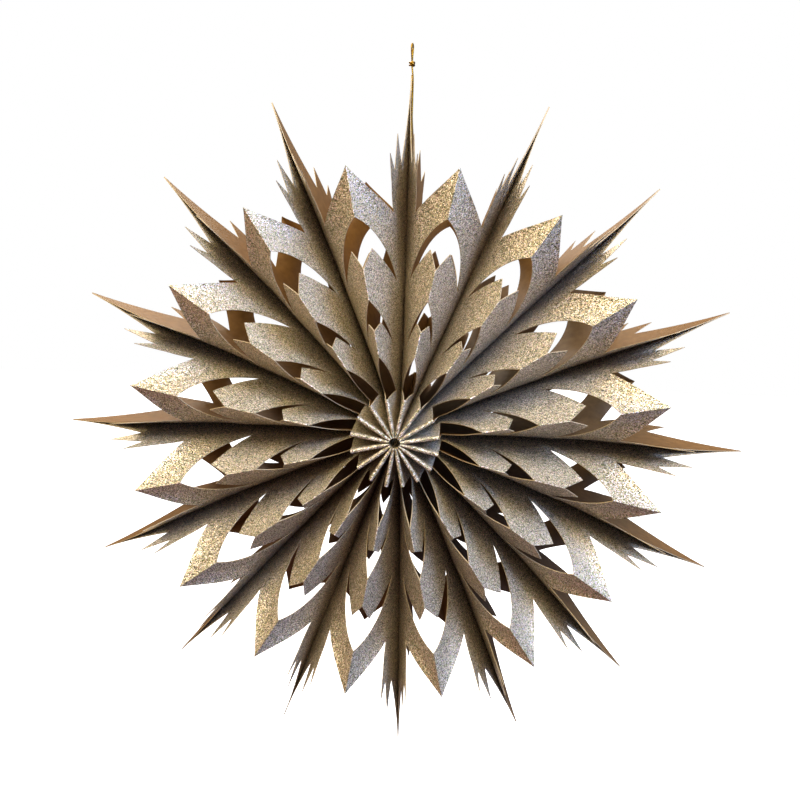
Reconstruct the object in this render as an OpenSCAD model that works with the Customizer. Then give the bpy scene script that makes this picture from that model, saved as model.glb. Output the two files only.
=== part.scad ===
// Hanging paper star of sixteen folded card pockets.
// +Z is up, the star's front faces -Y, and the origin is the centre of the star.
// A pocket is one card, creased at its front and back folds and glued to its two
// neighbours along a radial line. Its four quarters are cut to one pattern. The pattern is
// drawn flat, in u (out from the glued line towards a fold) and v (out from the centre).

/* [Star] */
// Distance from the centre to a spike's tip, mm
star_radius = 200; // [190:1:215]
// Flat width of a quarter, from the glued line to a fold, mm
quarter_w = 64; // [56:1:72]
// Thickness of the card, mm
card_t = 0.35; // [0.3:0.05:0.45]
// Half the width of the strip that is glued to the neighbour, mm
glue_w = 3; // [2:0.5:5]
// Radius of the hole left at the centre, mm
centre_r = 3; // [2.5:0.5:5]

/* [Leaves, v in mm] */
// Outer edge of the hub on the fold
hub_v = 24; // [22:1:26]
// Inner edge of the small leaf on the fold
small_leaf_low_v = 46.5; // [44:0.5:48]
// Outer edge of the small leaf on the fold
small_leaf_high_v = 60.5; // [58:0.5:62]
// Free corner of the small leaf
small_leaf_tip_v = 64; // [63:0.5:66]
// Inner edge of the middle leaf on the fold
middle_leaf_low_v = 77; // [75:1:79]
// Outer edge of the middle leaf on the fold
middle_leaf_high_v = 93; // [91:1:95]
// Free corner of the middle leaf
middle_leaf_tip_v = 103.5; // [102:0.5:105]
// Inner edge of the outer leaf on the fold
outer_leaf_low_v = 120.5; // [119:0.5:123]
// Tip of the outer leaf
outer_leaf_tip_v = 147.5; // [144:0.5:150]

/* [Windows, v in mm] */
// Closed end of the window next to the hub
inner_window_v = 24.5; // [24:0.5:27]
// Closed end of the middle window
middle_window_v = 49.5; // [48:0.5:52]
// Closed end of the outer window
outer_window_v = 84; // [82:1:86]
// How far the outer window's edge bows outwards
outer_window_bow = 5.5; // [3:0.5:7]
// How far the two inner windows' edges bow outwards
inner_window_bow = 2; // [0:0.5:3]

/* [Spike, v in mm] */
// Bottom of the deep notch between the spike and the outer leaf
deep_notch_v = 122; // [120:1:124]
// How far the outer leaf's edge bows inwards
leaf_edge_bow = 3; // [0:0.5:4]
// Tip of the short tooth
short_tooth_v = 151.5; // [149:0.5:154]
// Notch between the two teeth
tooth_notch_v = 144; // [141:1:146]
// Tip of the long tooth
long_tooth_v = 163; // [160:1:168]
// Notch between the long tooth and the spike
spike_notch_v = 149; // [147:1:152]

/* [Cord] */
// Diameter of the metallic cord, mm
cord_d = 0.9; // [0.7:0.05:1]

/* [Hidden] */

card_colour = [0.73, 0.66, 0.5];
cord_colour = [0.85, 0.65, 0.15];

// The hand-gluing leaves the spikes unevenly spaced: how far each is turned, degrees
spike_count = 16;
spike_turn = [0, 1, 0.5, 1.5, 1.5, 2.5, 3, 2.5, 1, 0, -1.5, -1, -2.5, -1.5, -0.5, -0.5];

// Columns of the flat pattern: every corner of the cuts lies on one of them
GLUE_LINE = 0;
STRIP = 1;
SPINE = 2;
WINDOW_END = 3;
NOTCH = 4;
TOOTH = 5;
LEAF_CORNER = 6;
FOLD = 7;
column_u = [
    0, glue_w, 0.2 * quarter_w, 0.4 * quarter_w,
    0.53 * quarter_w, 0.62 * quarter_w, 0.83 * quarter_w, quarter_w
];
// Heights in the uncut spine where the sheet's curve needs a point of its own
spine_v = [105, 140];

// The spike stands free above the deep notch, so it stays flatter than the held sheet
free_slope = 1.3;
free_run = 16;
flap_spread = 0.217;
flap_fall = 0.0019;
flap_root = 8;
// Shortening of a bowed strip, as a share of its spread squared over its width
bow_shortening = 0.6;
// Deepest wedge of card left inside a fold
fold_fill = 3;

function bowed_edge(from, v_from, to, v_to, bow) = [
    for (c = [from : sign(to - from) : to])
        let (s = (column_u[c] - column_u[from]) / (column_u[to] - column_u[from]))
        [c, v_from + (v_to - v_from) * s + 4 * bow * s * (1 - s)]
];

// One quarter's outline as [column, v], anticlockwise
outline = concat(
    [[GLUE_LINE, centre_r], [FOLD, centre_r], [FOLD, hub_v]],
    bowed_edge(NOTCH, inner_window_v, FOLD, small_leaf_low_v, inner_window_bow),
    [[FOLD, small_leaf_high_v], [LEAF_CORNER, small_leaf_tip_v]],
    bowed_edge(NOTCH, middle_window_v, FOLD, middle_leaf_low_v, inner_window_bow),
    [[FOLD, middle_leaf_high_v], [LEAF_CORNER, middle_leaf_tip_v]],
    bowed_edge(WINDOW_END, outer_window_v, FOLD, outer_leaf_low_v, outer_window_bow),
    bowed_edge(FOLD, outer_leaf_tip_v, NOTCH, deep_notch_v, -leaf_edge_bow),
    [[LEAF_CORNER, short_tooth_v], [TOOTH, tooth_notch_v], [TOOTH, long_tooth_v],
     [WINDOW_END, spike_notch_v], [GLUE_LINE, star_radius]]
);
corner_count = len(outline);
edges = [for (i = [0 : corner_count - 1]) [outline[i], outline[(i + 1) % corner_count]]];

function snap(v) = round(v * 1000) / 1000;
function edge_v(edge, c) =
    let (a = edge[0], b = edge[1])
    snap(a[1] + (b[1] - a[1]) * (column_u[c] - column_u[a[0]])
        / (column_u[b[0]] - column_u[a[0]]));

// The cuts that cross the strip between column c and the next one, lowest first
function sorted(rows) = len(rows) <= 1 ? rows :
    let (middle = rows[floor(len(rows) / 2)])
    concat(
        sorted([for (r = rows) if (r[0] + r[1] < middle[0] + middle[1]) r]),
        [for (r = rows) if (r[0] + r[1] == middle[0] + middle[1]) r],
        sorted([for (r = rows) if (r[0] + r[1] > middle[0] + middle[1]) r])
    );
function strip_cuts(c) = sorted([
    for (e = edges)
        if (min(e[0][0], e[1][0]) <= c && max(e[0][0], e[1][0]) > c)
            [edge_v(e, c), edge_v(e, c + 1)]
]);
cuts = [for (c = [GLUE_LINE : FOLD - 1]) strip_cuts(c)];

// Every v on a column that carries a vertex, lowest first and without repeats
function distinct(rows) = [
    for (i = [0 : len(rows) - 1])
        if (i == 0 || rows[i][0] != rows[i - 1][0]) rows[i][0]
];
function column_heights(c) = distinct(sorted(concat(
    c < FOLD ? [for (cut = cuts[c]) [cut[0], cut[0]]] : [],
    c > GLUE_LINE ? [for (cut = cuts[c - 1]) [cut[1], cut[1]]] : [],
    c == SPINE || c == WINDOW_END ? [for (v = spine_v) [v, v]] : []
)));
heights = [for (c = [GLUE_LINE : FOLD]) column_heights(c)];
column_start = [
    for (c = 0, start = 0; c <= FOLD + 1; start = start + (c <= FOLD ? len(heights[c]) : 0), c = c + 1)
        start
];
sheet_size = column_start[FOLD + 1];

// Shape of the folded sheet
function clamp(x) = min(1, max(0, x));
function beam(s) = (3 * s * s - s * s * s) / 2;
function spread(u, v, half_angle) =
    let (
        out = max(0, u - glue_w),
        held = v * half_angle * PI / 180 * beam(out / (quarter_w - glue_w)),
        flap = (flap_spread - flap_fall * (v - deep_notch_v)) * out * out / (out + flap_root),
        share = clamp((v - outer_leaf_tip_v - free_slope * (u - quarter_w)) / free_run)
    )
    (1 - share) * held + share * flap;
function depth(u, lift) = u - bow_shortening * lift * lift / max(u, 1);

// side is 1 or -1, face is 1 (front) or -1 (back), inside is 0 or 1
function sheet_point(c, v, side, face, inside, middle_angle, half_angle) =
    let (
        u = column_u[c],
        lift = spread(u, v, half_angle),
        gap = c == FOLD ? 0 : v * half_angle * PI / 180 - lift,
        fill = c == FOLD
            ? min(fold_fill, card_t * quarter_w / (1.5 * lift))
            : card_t * lift / max(u, 1),
        reach = depth(u, lift) - inside * fill,
        offset = inside == 1 ? gap * gap / (gap + card_t) : gap,
        angle = middle_angle + side * offset / v * 180 / PI
    )
    [v * cos(angle), -face * reach, v * sin(angle)];

// Index of a vertex: the halves share the glued line, and the sides share the folds
function sheet_index(c, v, side, face, inside) =
    let (
        s = c == FOLD || side == 1 ? 0 : 1,
        f = c == GLUE_LINE || face == 1 ? 0 : 1,
        j = [for (i = [0 : len(heights[c]) - 1]) if (heights[c][i] == v) i][0]
    )
    ((inside * 2 + s) * 2 + f) * sheet_size + column_start[c] + j;

function between(c, low, high) = [for (v = heights[c]) if (v >= low && v <= high) [c, v]];

// Triangles of the flat cells, anticlockwise, as triples of [column, v]
flat_triangles = [
    for (c = [GLUE_LINE : FOLD - 1])
        for (i = [0 : 2 : len(cuts[c]) - 1])
            let (
                inner = between(c, cuts[c][i][0], cuts[c][i + 1][0]),
                outer = between(c + 1, cuts[c][i][1], cuts[c][i + 1][1]),
                top = inner[len(inner) - 1]
            )
            each concat(
                len(inner) < 2 ? [] :
                    [for (j = [0 : len(inner) - 2]) [outer[0], inner[j + 1], inner[j]]],
                len(outer) < 2 ? [] :
                    [for (j = [0 : len(outer) - 2]) [top, outer[j], outer[j + 1]]]
            )
];

// The outline cut at the columns, as directed pieces with the card on their left
function edge_pieces(edge) =
    let (a = edge[0], b = edge[1])
    a[0] == b[0]
        ? (a[0] == GLUE_LINE || a[0] == FOLD ? [] : [[[a[0], snap(a[1])], [b[0], snap(b[1])]]])
        : let (step = sign(b[0] - a[0]))
          [for (c = [a[0] : step : b[0] - step])
              [[c, edge_v(edge, c)], [c + step, edge_v(edge, c + step)]]];
cut_pieces = [for (e = edges) each edge_pieces(e)];

function vertex(corner, side, face, inside) =
    sheet_index(corner[0], corner[1], side, face, inside);
function turned(triangle, flip) =
    flip ? [triangle[2], triangle[1], triangle[0]] : triangle;

sheet_faces = [
    for (side = [1, -1], face = [1, -1])
        let (flip = side * face == 1)
        each concat(
            [for (t = flat_triangles, inside = [0, 1])
                turned([for (corner = t) vertex(corner, side, face, inside)],
                    flip == (inside == 0))],
            [for (p = cut_pieces, half = [0, 1])
                turned(half == 0
                    ? [vertex(p[1], side, face, 0), vertex(p[0], side, face, 0),
                       vertex(p[0], side, face, 1)]
                    : [vertex(p[1], side, face, 0), vertex(p[0], side, face, 1),
                       vertex(p[1], side, face, 1)],
                    flip)]
        )
];

function spike_angle(k) = 90 + k * 360 / spike_count + spike_turn[k % spike_count];

// Pocket k fills the gap between spikes k - 1 and k, counted anticlockwise from the top
module pocket(k) {
    middle_angle = (spike_angle(k - 1) + spike_angle(k)) / 2;
    half_angle = (spike_angle(k) - spike_angle(k - 1)) / 2;
    points = [
        for (inside = [0, 1], side = [1, -1], face = [1, -1])
            for (c = [GLUE_LINE : FOLD], v = heights[c])
                sheet_point(c, v, side, face, inside, middle_angle, half_angle)
    ];
    color(card_colour) polyhedron(points = points, faces = sheet_faces);
}

// Route of the cord: up inside the top spike, through the knot, round the loop and back.
// The loop hangs nearly edge-on to the front.
cord_route = [
    [0.85, -0.7, 150], [0.85, -0.7, 174], [0.85, -0.7, 196], [0.7, -0.6, 200],
    [0.3, -0.5, 203], [0, -0.5, 205.5], [0, -0.5, 207.5], [-0.15, -0.9, 210],
    [-0.3, -1.5, 212.5], [-0.4, -1.8, 215], [-0.35, -1.6, 216], [-0.2, -0.9, 216.8],
    [0, 0, 217.1], [0.2, 0.9, 216.8], [0.35, 1.6, 216], [0.4, 1.8, 215],
    [0.3, 1.5, 212.5], [0.15, 0.9, 210], [0, 0.5, 207.5], [0, 0.5, 205.5],
    [0.3, 0.5, 203], [0.7, 0.6, 200], [0.85, 0.7, 196], [0.85, 0.7, 171],
    [0.85, 0.7, 146]
];
cord_sides = 6;

// Three turns of cord, wound clear of the two strands that pass up through them
knot_v = 206;
knot_turn_r = 0.5;
knot_bore_r = 0.55 + cord_d / 2;
knot_heights = [-0.8, 0, 0.8];

function unit(a) = a / norm(a);
function route_direction(i) =
    unit(cord_route[min(i + 1, len(cord_route) - 1)] - cord_route[max(i - 1, 0)]);

module hanging_cord() {
    last = len(cord_route) - 1;
    // One axis of each ring stays square to the star's width, which no stretch of cord follows
    points = [
        for (i = [0 : last])
            let (
                along = route_direction(i),
                deep = unit(cross(along, [1, 0, 0])),
                across = cross(deep, along)
            )
            for (j = [0 : cord_sides - 1])
                let (turn = j * 360 / cord_sides)
                cord_route[i] + cord_d / 2 * (cos(turn) * across + sin(turn) * deep)
    ];
    sides = [
        for (i = [0 : last - 1], j = [0 : cord_sides - 1])
            let (a = i * cord_sides + j, b = i * cord_sides + (j + 1) % cord_sides)
            each [[a, b + cord_sides, b], [a, a + cord_sides, b + cord_sides]]
    ];
    ends = [
        [for (j = [0 : cord_sides - 1]) j],
        [for (j = [cord_sides - 1 : -1 : 0]) last * cord_sides + j]
    ];
    color(cord_colour) polyhedron(points = points, faces = concat(sides, ends));
}

module cord_knot() {
    color(cord_colour)
        translate([0, 0, knot_v])
            rotate_extrude($fn = 10)
                for (h = knot_heights)
                    translate([knot_bore_r + knot_turn_r, h])
                        circle(r = knot_turn_r, $fn = 6);
}

pocket(1);  // pocket_01
pocket(2);  // pocket_02
pocket(3);  // pocket_03
pocket(4);  // pocket_04
pocket(5);  // pocket_05
pocket(6);  // pocket_06
pocket(7);  // pocket_07
pocket(8);  // pocket_08
pocket(9);  // pocket_09
pocket(10);  // pocket_10
pocket(11);  // pocket_11
pocket(12);  // pocket_12
pocket(13);  // pocket_13
pocket(14);  // pocket_14
pocket(15);  // pocket_15
pocket(16);  // pocket_16
hanging_cord();
cord_knot();
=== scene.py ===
"""Hanging paper star: sixteen folded pockets of glitter card on a gold cord loop."""
import math

import bpy
from mathutils import Euler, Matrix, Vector


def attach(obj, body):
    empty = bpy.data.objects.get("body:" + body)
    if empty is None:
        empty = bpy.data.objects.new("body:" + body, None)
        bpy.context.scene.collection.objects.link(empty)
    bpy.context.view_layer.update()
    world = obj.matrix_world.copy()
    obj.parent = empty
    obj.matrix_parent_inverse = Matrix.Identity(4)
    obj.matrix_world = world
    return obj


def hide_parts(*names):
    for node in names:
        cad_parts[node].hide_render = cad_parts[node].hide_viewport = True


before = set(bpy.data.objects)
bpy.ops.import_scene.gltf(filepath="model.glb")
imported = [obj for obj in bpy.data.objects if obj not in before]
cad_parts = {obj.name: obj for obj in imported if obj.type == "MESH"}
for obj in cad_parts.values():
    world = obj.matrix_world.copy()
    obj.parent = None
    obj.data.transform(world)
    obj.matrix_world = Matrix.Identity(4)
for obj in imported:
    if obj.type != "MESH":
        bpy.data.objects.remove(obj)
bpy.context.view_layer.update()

# Driving dimensions of the star in metres, as in the solids
MM = 0.001
STAR_RADIUS = 200 * MM
QUARTER_W = 64 * MM
CARD_T = 0.35 * MM
GLUE_W = 3 * MM
CENTRE_R = 3 * MM
SPIKE_COUNT = 16
SPIKE_TURN = [0, 1, 0.5, 1.5, 1.5, 2.5, 3, 2.5, 1, 0, -1.5, -1, -2.5, -1.5, -0.5, -0.5]

# Places across the flat quarter where its cuts have corners
WINDOW_END_U = 0.4 * QUARTER_W
NOTCH_U = 0.53 * QUARTER_W
TOOTH_U = 0.62 * QUARTER_W
CORNER_U = 0.83 * QUARTER_W

# Distances of the cuts from the star's centre
HUB_V = 24 * MM
SMALL_LEAF_LOW_V = 46.5 * MM
SMALL_LEAF_HIGH_V = 60.5 * MM
SMALL_LEAF_TIP_V = 64 * MM
MIDDLE_LEAF_LOW_V = 77 * MM
MIDDLE_LEAF_HIGH_V = 93 * MM
MIDDLE_LEAF_TIP_V = 103.5 * MM
OUTER_LEAF_LOW_V = 120.5 * MM
OUTER_LEAF_TIP_V = 147.5 * MM
INNER_WINDOW_V = 24.5 * MM
MIDDLE_WINDOW_V = 49.5 * MM
OUTER_WINDOW_V = 84 * MM
DEEP_NOTCH_V = 122 * MM
SHORT_TOOTH_V = 151.5 * MM
TOOTH_NOTCH_V = 144 * MM
LONG_TOOTH_V = 163 * MM
SPIKE_NOTCH_V = 149 * MM

# How far the cuts bow, and how many steps draw each bowed cut
OUTER_WINDOW_BOW = 5.5 * MM
INNER_WINDOW_BOW = 2 * MM
LEAF_EDGE_BOW = 3 * MM
BOW_STEPS = 12

# The spike stands free above the deep notch, so it stays flatter than the held sheet
FREE_SLOPE = 1.3
FREE_RUN = 16 * MM
FLAP_SPREAD = 0.217
FLAP_FALL = 1.9
FLAP_ROOT = 8 * MM
BOW_SHORTENING = 0.6

# The folds are pressed round at the hub, sharper towards the centre and out on the leaves.
# NOSE_BLEND is the power that eases the flat wall into the round nose.
NOSE_R = 1.05 * MM
NOSE_SHARE = 0.8
NOSE_BLEND = 3

# Spacing of the score lines that let the card curve smoothly, closer at the fold's nose
SCORE_U = 2 * MM
SCORE_V = 6 * MM
NOSE_SCORES = [0.1 * MM, 0.35 * MM, 0.75 * MM, 1.25 * MM]

# Points nearer than SNAP count as one, and a slope is taken over STEP to each side.
# Edges sharper than SHARP_ANGLE, in degrees, stay sharp when the card is shaded smooth.
SNAP = 0.001 * MM
STEP = 0.05 * MM
SHARP_ANGLE = 30

# The photograph's view, worked out from the star's own corners: metres, degrees and mm
CAMERA_PLACE = (0.0309, -0.5709, 0.0984)
CAMERA_TURN = (81.61, -1.629, 3.471)
CAMERA_LENS = 43.83

# The floor's side, and how high it lies, in metres
FLOOR_SIDE = 8
FLOOR_LEVEL = -0.5

# The cord: up inside the top spike, through the knot, round the loop and back. Route in mm.
CORD_D = 0.9 * MM
CORD_ROUTE = [
    (0.85, -0.7, 150), (0.85, -0.7, 174), (0.85, -0.7, 196), (0.7, -0.6, 200),
    (0.3, -0.5, 203), (0, -0.5, 205.5), (0, -0.5, 207.5), (-0.15, -0.9, 210),
    (-0.3, -1.5, 212.5), (-0.4, -1.8, 215), (-0.35, -1.6, 216), (-0.2, -0.9, 216.8),
    (0, 0, 217.1), (0.2, 0.9, 216.8), (0.35, 1.6, 216), (0.4, 1.8, 215),
    (0.3, 1.5, 212.5), (0.15, 0.9, 210), (0, 0.5, 207.5), (0, 0.5, 205.5),
    (0.3, 0.5, 203), (0.7, 0.6, 200), (0.85, 0.7, 196), (0.85, 0.7, 171),
    (0.85, 0.7, 146),
]

# The knot, in mm: three turns of cord that cross each other as they go round the two strands
KNOT_V = 206
KNOT_TURNS = 3
KNOT_CROSSINGS = 2
KNOT_R = 1.9
KNOT_BULGE = 0.45
KNOT_RISE = 0.85
KNOT_NARROW = 0.66
KNOT_STEPS = 72


# Shader helpers

def linear(hex_colour):
    """An sRGB hex colour as linear values."""
    values = [int(hex_colour[i:i + 2], 16) / 255 for i in (1, 3, 5)]
    return [v / 12.92 if v <= 0.04045 else ((v + 0.055) / 1.055) ** 2.4 for v in values] + [1]


def add_node(tree, kind, sockets=None, **settings):
    """A shader node with its settings, and each socket given a value or a link."""
    made = tree.nodes.new(kind)
    for name, value in settings.items():
        setattr(made, name, value)
    for name, value in (sockets or {}).items():
        if isinstance(value, bpy.types.NodeSocket):
            tree.links.new(value, made.inputs[name])
        else:
            made.inputs[name].default_value = value
    return made


def start_material(name):
    """A new material, its node tree, its shader and the place on the piece."""
    material = bpy.data.materials.new(name)
    material.use_nodes = True
    tree = material.node_tree
    place = add_node(tree, "ShaderNodeTexCoord").outputs["Object"]
    return material, tree, tree.nodes["Principled BSDF"], place


def set_stops(ramp, stops):
    elements = ramp.color_ramp.elements
    while len(elements) < len(stops):
        elements.new(0.5)
    for element, (position, hex_colour) in zip(elements, stops):
        element.position = position
        element.color = linear(hex_colour)


# Materials

def glitter_card():
    """Metallised polyester flakes bonded to card: each flake is a tiny tilted mirror.

    Real flakes are 0.2 mm wide. They are drawn 0.45 mm wide, so that they show. Each has a
    faint tint of its own, as light splits in its clear coat.
    """
    material, tree, shader, place = start_material("champagne_glitter_card")
    flakes = add_node(tree, "ShaderNodeTexVoronoi", {"Vector": place, "Scale": 2200.0})
    chance = add_node(tree, "ShaderNodeSeparateColor", {"Color": flakes.outputs["Color"]})
    colour = add_node(tree, "ShaderNodeValToRGB", {"Fac": chance.outputs["Red"]})
    set_stops(colour, [
        (0.0, "#3C3224"),
        (0.25, "#8C7F65"),
        (0.6, "#B7AA8C"),
        (0.85, "#D8CDAF"),
        (1.0, "#F9F0D8"),
    ])
    tinted = add_node(tree, "ShaderNodeMix", {
        "Factor": 0.35, 6: colour.outputs["Color"], 7: flakes.outputs["Color"],
    }, data_type="RGBA", blend_type="SOFT_LIGHT")
    shade = add_node(tree, "ShaderNodeMapRange", {
        "Value": chance.outputs["Green"], "To Min": 0.35, "To Max": 0.6,
    })
    spread = add_node(tree, "ShaderNodeVectorMath", {
        0: flakes.outputs["Color"], 1: (0.5, 0.5, 0.5),
    }, operation="SUBTRACT")
    tilt = add_node(tree, "ShaderNodeVectorMath", {
        0: spread.outputs["Vector"], "Scale": 0.7,
    }, operation="SCALE")
    surface = add_node(tree, "ShaderNodeNewGeometry")
    leaning = add_node(tree, "ShaderNodeVectorMath", {
        0: surface.outputs["Normal"], 1: tilt.outputs["Vector"],
    }, operation="ADD")
    facing = add_node(tree, "ShaderNodeVectorMath", {
        0: leaning.outputs["Vector"],
    }, operation="NORMALIZE")
    tree.links.new(tinted.outputs[2], shader.inputs["Base Color"])
    tree.links.new(shade.outputs["Result"], shader.inputs["Roughness"])
    tree.links.new(facing.outputs["Vector"], shader.inputs["Normal"])
    shader.inputs["Metallic"].default_value = 0.5
    return material


def plain_card():
    """Uncoated tan card, smooth with a faint cloudy fibre about 4 mm wide."""
    material, tree, shader, place = start_material("tan_card")
    fibre = add_node(tree, "ShaderNodeTexNoise", {
        "Vector": place, "Scale": 240.0, "Detail": 4.0,
    })
    colour = add_node(tree, "ShaderNodeValToRGB", {"Fac": fibre.outputs["Fac"]})
    set_stops(colour, [(0.3, "#684924"), (0.7, "#78562D")])
    tree.links.new(colour.outputs["Color"], shader.inputs["Base Color"])
    shader.inputs["Roughness"].default_value = 0.6
    shader.inputs["Specular IOR Level"].default_value = 0.2
    return material


def cut_edge():
    """Pale pulp core of the card, bare and matt along its cuts, with flecks 1 mm wide."""
    material, tree, shader, place = start_material("card_cut_edge")
    pulp = add_node(tree, "ShaderNodeTexNoise", {
        "Vector": place, "Scale": 900.0, "Detail": 2.0,
    })
    colour = add_node(tree, "ShaderNodeValToRGB", {"Fac": pulp.outputs["Fac"]})
    set_stops(colour, [(0.3, "#A08C69"), (0.7, "#B8A582")])
    tree.links.new(colour.outputs["Color"], shader.inputs["Base Color"])
    shader.inputs["Roughness"].default_value = 0.8
    return material


def gold_thread():
    """Metallised foil wound round an elastic core, in turns 0.5 mm wide. Each turn darkens into
    the groove next to it: painted shade over the foil's own gold.
    """
    material, tree, shader, place = start_material("gold_thread")
    winding_and_groove_shade = add_node(tree, "ShaderNodeTexWave", {
        "Vector": place, "Scale": 600.0, "Distortion": 1.0,
    }, bands_direction="DIAGONAL")
    # The bands follow the winding. The dark stop is painted shade in the grooves between turns,
    # and the light stop is the foil's own gold.
    colour = add_node(tree, "ShaderNodeValToRGB", {"Fac": winding_and_groove_shade.outputs["Fac"]})
    set_stops(colour, [(0.0, "#6E4C0C"), (1.0, "#C2942A")])
    ridge = add_node(tree, "ShaderNodeBump", {
        "Strength": 0.6, "Distance": 0.1 * MM, "Height": winding_and_groove_shade.outputs["Fac"],
    })
    tree.links.new(colour.outputs["Color"], shader.inputs["Base Color"])
    tree.links.new(ridge.outputs["Normal"], shader.inputs["Normal"])
    shader.inputs["Metallic"].default_value = 0.9
    shader.inputs["Roughness"].default_value = 0.35
    return material


# Camera, light and floor

def add_camera():
    data = bpy.data.cameras.new("camera")
    data.lens = CAMERA_LENS
    data.sensor_width = 36
    data.clip_start = 0.01
    camera = bpy.data.objects.new("camera", data)
    camera.location = CAMERA_PLACE
    camera.rotation_euler = Euler([math.radians(a) for a in CAMERA_TURN])
    bpy.context.collection.objects.link(camera)
    bpy.context.scene.camera = camera


def soft_light(name, place, size, power, hex_colour):
    """A soft box that faces the star's centre."""
    data = bpy.data.lights.new(name, "AREA")
    data.size = size
    data.energy = power
    data.color = linear(hex_colour)[:3]
    light = bpy.data.objects.new(name, data)
    light.location = place
    light.rotation_euler = Vector(place).to_track_quat("Z", "Y").to_euler()
    bpy.context.collection.objects.link(light)


def add_studio():
    """Bright above, cool at the right, warm at the left, dim below and behind; a white page."""
    soft_light("ceiling_box", (0.15, -1.0, 1.25), 0.9, 28, "#FFEEC6")
    soft_light("window_box", (1.15, -0.85, 1.15), 0.9, 48, "#A2C0FF")
    soft_light("warm_box", (-0.9, -0.75, 1.0), 0.8, 10, "#FFF0CA")
    soft_light("back_box", (-0.3, 0.9, 0.8), 0.7, 12, "#FFF0DC")
    world = bpy.data.worlds.new("studio")
    bpy.context.scene.world = world
    world.use_nodes = True
    tree = world.node_tree
    direction = add_node(tree, "ShaderNodeTexCoord").outputs["Generated"]
    glow = add_node(tree, "ShaderNodeBackground", {"Color": linear("#000000")})
    sides = [
        ((0.9, -0.2, 0.4), "#9CBEFF", 1.1),
        ((-0.9, -0.2, 0.4), "#FFF4DC", 0.45),
        ((0, 1, 0), "#FFF4E0", 0.1),
        ((0, -0.2, 0.95), "#FFF4D6", 1.15),
        ((-0.6, -0.4, -0.7), "#FFB49C", 0.5),
        ((0.6, -0.4, -0.7), "#D4D8FF", 0.42),
    ]
    for side, hex_colour, brightness in sides:
        share = add_node(tree, "ShaderNodeVectorMath", {0: direction, 1: side},
                         operation="DOT_PRODUCT")
        share = add_node(tree, "ShaderNodeMath", {0: share.outputs["Value"], 1: 0.0},
                         operation="MAXIMUM")
        share = add_node(tree, "ShaderNodeMath", {0: share.outputs["Value"], 1: 2.0},
                         operation="POWER")
        share = add_node(tree, "ShaderNodeMath", {0: share.outputs["Value"], 1: brightness},
                         operation="MULTIPLY")
        panel = add_node(tree, "ShaderNodeBackground", {
            "Color": linear(hex_colour), "Strength": share.outputs["Value"],
        })
        glow = add_node(tree, "ShaderNodeAddShader", {
            0: glow.outputs[0], 1: panel.outputs[0],
        })
    page = add_node(tree, "ShaderNodeBackground", {"Color": linear("#FFFFFF")})
    rays = add_node(tree, "ShaderNodeLightPath")
    mix = add_node(tree, "ShaderNodeMixShader", {
        0: rays.outputs["Is Camera Ray"], 1: glow.outputs[0], 2: page.outputs[0],
    })
    tree.links.new(mix.outputs[0], tree.nodes["World Output"].inputs["Surface"])
    bpy.context.scene.view_settings.view_transform = "Standard"


def add_floor():
    """White floor well below the star, seen only by the camera so that it casts no light."""
    bpy.ops.mesh.primitive_plane_add(size=FLOOR_SIDE, location=(0, 0, FLOOR_LEVEL))
    floor = bpy.context.object
    floor.name = "floor"
    material, tree, shader, place = start_material("white_floor")
    grain = add_node(tree, "ShaderNodeTexNoise", {"Vector": place, "Scale": 3.0})
    colour = add_node(tree, "ShaderNodeValToRGB", {"Fac": grain.outputs["Fac"]})
    set_stops(colour, [(0.0, "#F7F7F7"), (1.0, "#FFFFFF")])
    tree.links.new(colour.outputs["Color"], shader.inputs["Base Color"])
    shader.inputs["Emission Color"].default_value = linear("#FFFFFF")
    shader.inputs["Emission Strength"].default_value = 1.0
    floor.data.materials.append(material)
    floor.visible_diffuse = False
    floor.visible_glossy = False
    floor.visible_shadow = False


# Flat pattern of one quarter: u out from the glued line and v out from the centre

def bowed(start, end, bow):
    """Points along a cut from start to end that bows outwards by bow at its middle."""
    points = []
    for i in range(BOW_STEPS + 1):
        s = i / BOW_STEPS
        u = start[0] + (end[0] - start[0]) * s
        v = start[1] + (end[1] - start[1]) * s + 4 * bow * s * (1 - s)
        points.append((u, v))
    return points


def quarter_outline():
    fold = QUARTER_W
    return [
        (0, CENTRE_R),
        (fold, CENTRE_R),
        (fold, HUB_V),
        *bowed((NOTCH_U, INNER_WINDOW_V), (fold, SMALL_LEAF_LOW_V), INNER_WINDOW_BOW),
        (fold, SMALL_LEAF_HIGH_V),
        (CORNER_U, SMALL_LEAF_TIP_V),
        *bowed((NOTCH_U, MIDDLE_WINDOW_V), (fold, MIDDLE_LEAF_LOW_V), INNER_WINDOW_BOW),
        (fold, MIDDLE_LEAF_HIGH_V),
        (CORNER_U, MIDDLE_LEAF_TIP_V),
        *bowed((WINDOW_END_U, OUTER_WINDOW_V), (fold, OUTER_LEAF_LOW_V), OUTER_WINDOW_BOW),
        *bowed((fold, OUTER_LEAF_TIP_V), (NOTCH_U, DEEP_NOTCH_V), -LEAF_EDGE_BOW),
        (CORNER_U, SHORT_TOOTH_V),
        (TOOTH_U, TOOTH_NOTCH_V),
        (TOOTH_U, LONG_TOOTH_V),
        (WINDOW_END_U, SPIKE_NOTCH_V),
        (0, STAR_RADIUS),
    ]


def make_active(piece):
    bpy.ops.object.select_all(action="DESELECT")
    piece.select_set(True)
    bpy.context.view_layer.objects.active = piece


def apply_modifier(piece, kind, **settings):
    modifier = piece.modifiers.new(kind.lower(), kind)
    for name, value in settings.items():
        setattr(modifier, name, value)
    make_active(piece)
    bpy.ops.object.modifier_apply(modifier=modifier.name)


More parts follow.
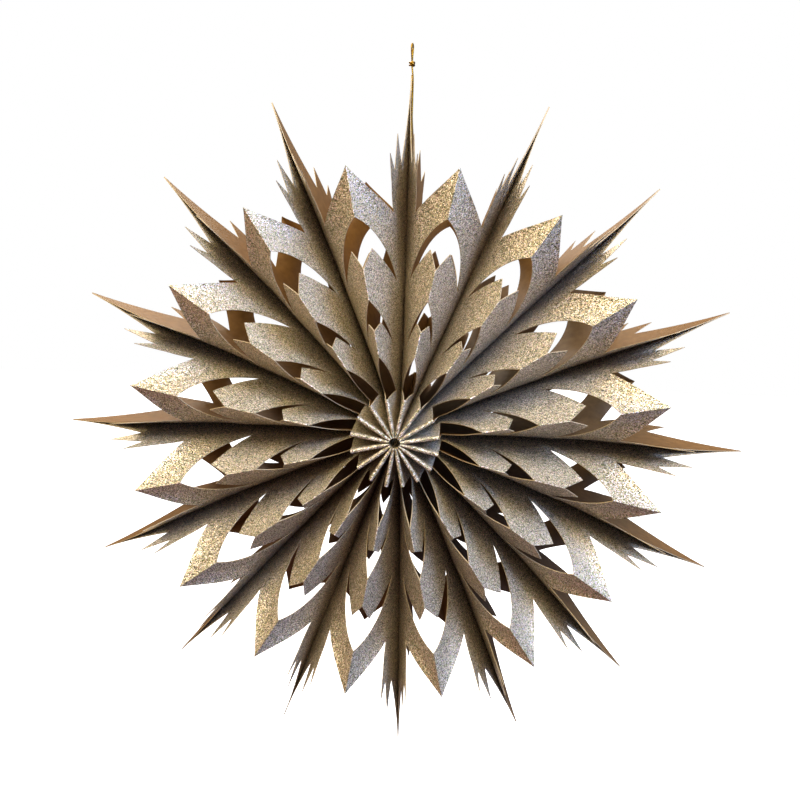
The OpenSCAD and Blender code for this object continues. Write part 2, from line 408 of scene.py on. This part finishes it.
def cut_flat_card(materials):
    """One quarter cut from card: glitter above, plain below, pale round its edges."""
    curve = bpy.data.curves.new("quarter_card", "CURVE")
    curve.dimensions = "2D"
    curve.fill_mode = "BOTH"
    outline = quarter_outline()
    line = curve.splines.new("POLY")
    line.use_cyclic_u = True
    line.points.add(len(outline) - 1)
    for point, (u, v) in zip(line.points, outline):
        point.co = (u, v, 0, 1)
    card = bpy.data.objects.new("quarter_card", curve)
    bpy.context.collection.objects.link(card)
    make_active(card)
    bpy.ops.object.convert(target="MESH")
    card = bpy.context.object
    for material in materials:
        card.data.materials.append(material)

    bpy.ops.object.mode_set(mode="EDIT")
    bpy.ops.mesh.select_all(action="SELECT")
    bpy.ops.mesh.remove_doubles(threshold=SNAP)
    bpy.ops.mesh.dissolve_limited(angle_limit=math.radians(1), use_dissolve_boundaries=False)
    scores = [((i * SCORE_U, 0, 0), (1, 0, 0)) for i in range(1, int(QUARTER_W / SCORE_U))]
    scores += [((QUARTER_W - into, 0, 0), (1, 0, 0)) for into in NOSE_SCORES]
    scores += [((0, i * SCORE_V, 0), (0, 1, 0)) for i in range(1, int(STAR_RADIUS / SCORE_V) + 1)]
    for place, across in scores:
        bpy.ops.mesh.select_all(action="SELECT")
        bpy.ops.mesh.bisect(plane_co=place, plane_no=across, threshold=SNAP)
    bpy.ops.mesh.select_all(action="SELECT")
    bpy.ops.mesh.normals_make_consistent(inside=False)
    bpy.ops.object.mode_set(mode="OBJECT")
    if card.data.polygons[0].normal.z < 0:
        card.data.flip_normals()
    apply_modifier(card, "SOLIDIFY", thickness=CARD_T, offset=-1, material_offset=1,
                   material_offset_rim=2)
    open_folds(card)
    return card


def open_folds(card):
    """Takes the thin rims off the fold and the glued line, where the next quarter joins on."""
    bpy.ops.object.mode_set(mode="EDIT")
    bpy.ops.mesh.select_all(action="DESELECT")
    bpy.ops.object.mode_set(mode="OBJECT")
    for face in card.data.polygons:
        at_side = face.center.x < SNAP or face.center.x > QUARTER_W - SNAP
        face.select = at_side and abs(face.normal.x) > 0.9
    bpy.ops.object.mode_set(mode="EDIT")
    bpy.ops.mesh.select_mode(type="FACE")
    bpy.ops.mesh.delete(type="ONLY_FACE")
    bpy.ops.object.mode_set(mode="OBJECT")


# Folded shape of the card

def beam(s):
    """Bending line of a strip clamped at one end and pulled at the other."""
    return (3 * s * s - s ** 3) / 2


def spread(u, v, half_angle):
    """How far the wall has bent away from the glued side: held low down, and free higher up."""
    out = max(0.0, u - GLUE_W)
    held = v * half_angle * beam(out / (QUARTER_W - GLUE_W))
    flap = (FLAP_SPREAD - FLAP_FALL * (v - DEEP_NOTCH_V)) * out * out / (out + FLAP_ROOT)
    share = (v - OUTER_LEAF_TIP_V - FREE_SLOPE * (u - QUARTER_W)) / FREE_RUN
    share = min(1.0, max(0.0, share))
    return (1 - share) * held + share * flap


def section(u, v, half_angle):
    """The glitter face in the cut at v: its distance from the pocket's middle, and its depth."""
    lift = spread(u, v, half_angle)
    wall = max(0.0, v * half_angle - lift)
    radius = min(NOSE_R, NOSE_SHARE * v * half_angle, NOSE_R * HUB_V / v)
    sunk = max(0.0, radius - max(0.0, QUARTER_W - u))
    nose = math.sqrt(max(0.0, radius * radius - sunk * sunk))
    rounded = (wall ** NOSE_BLEND + nose ** NOSE_BLEND) ** (1 / NOSE_BLEND)
    aside = min(v * half_angle, rounded)
    return aside, u - BOW_SHORTENING * lift * lift / max(u, MM)


def folded_place(u, v, inside, half_angle):
    """Where a point of the flat card goes: +X out from the centre, -Y to the front."""
    aside, reach = section(u, v, half_angle)
    if inside:
        near = section(max(0.0, u - STEP), v, half_angle)
        far = section(min(QUARTER_W, u + STEP), v, half_angle)
        along = Vector((far[0] - near[0], far[1] - near[1])).normalized()
        if u > QUARTER_W - SNAP:
            along = Vector((-1, 0))
        aside = max(0.0, aside - CARD_T * along.y)
        reach += CARD_T * along.x
    turn = aside / v
    return v * math.cos(turn), -reach, v * math.sin(turn)


def spike_angle(k):
    """The direction of a spike, anticlockwise from the right, with 0 the spike at the top."""
    return math.radians(90 + k * 360 / SPIKE_COUNT + SPIKE_TURN[k % SPIKE_COUNT])


def fold_pocket(number, flat_card):
    """Bends a copy of the flat quarter, mirrors it twice and turns it to its place."""
    middle_angle = (spike_angle(number - 1) + spike_angle(number)) / 2
    half_angle = (spike_angle(number) - spike_angle(number - 1)) / 2
    name = f"pocket_{number:02d}"
    card = flat_card.copy()
    card.data = flat_card.data.copy()
    card.name = card.data.name = name + "_card"
    bpy.context.collection.objects.link(card)
    for vertex in card.data.vertices:
        u, v, height = vertex.co
        vertex.co = folded_place(u, v, height < -SNAP, half_angle)
    apply_modifier(card, "MIRROR", use_axis=(False, True, True), merge_threshold=SNAP)
    card.rotation_euler = (0, -middle_angle, 0)
    bpy.ops.object.transform_apply(rotation=True)
    bpy.ops.object.shade_smooth_by_angle(angle=math.radians(SHARP_ANGLE))
    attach(card, "root")
    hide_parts(name)


def add_pockets():
    flat_card = cut_flat_card([glitter_card(), plain_card(), cut_edge()])
    for number in range(1, SPIKE_COUNT + 1):
        fold_pocket(number, flat_card)
    bpy.data.objects.remove(flat_card)


# Cord and knot

def cord_curve(name, route, material, closed=False):
    """A length of the gold cord along a route given in mm."""
    curve = bpy.data.curves.new(name, "CURVE")
    curve.dimensions = "3D"
    curve.bevel_depth = CORD_D / 2
    curve.bevel_resolution = 4
    curve.use_fill_caps = not closed
    line = curve.splines.new("POLY")
    line.use_cyclic_u = closed
    line.points.add(len(route) - 1)
    for point, place in zip(line.points, route):
        point.co = (*[c * MM for c in place], 1)
    curve.materials.append(material)
    cord = bpy.data.objects.new(name, curve)
    bpy.context.collection.objects.link(cord)
    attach(cord, "root")
    return cord


def add_knot(material):
    """Winds the knot round both strands, out and up, then in and down, at each crossing."""
    route = []
    for i in range(KNOT_STEPS):
        turn = i * 2 * math.pi * KNOT_TURNS / KNOT_STEPS
        weave = i * 2 * math.pi * KNOT_CROSSINGS / KNOT_STEPS
        reach = KNOT_R + KNOT_BULGE * math.cos(weave)
        route.append((
            -KNOT_NARROW * reach * math.sin(turn),
            -reach * math.cos(turn),
            KNOT_V + KNOT_RISE * math.sin(weave),
        ))
    knot = cord_curve("gold_knot", route, material, closed=True)
    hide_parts("cord_knot")
    return knot


def add_cord(material, knot):
    cord = cord_curve("gold_cord", CORD_ROUTE, material)
    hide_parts("hanging_cord")
    steps = zip(CORD_ROUTE, CORD_ROUTE[1:])
    length = sum((Vector(b) - Vector(a)).length for a, b in steps) * MM


add_camera()
thread = gold_thread()
add_cord(thread, add_knot(thread))
add_pockets()
add_studio()
add_floor()
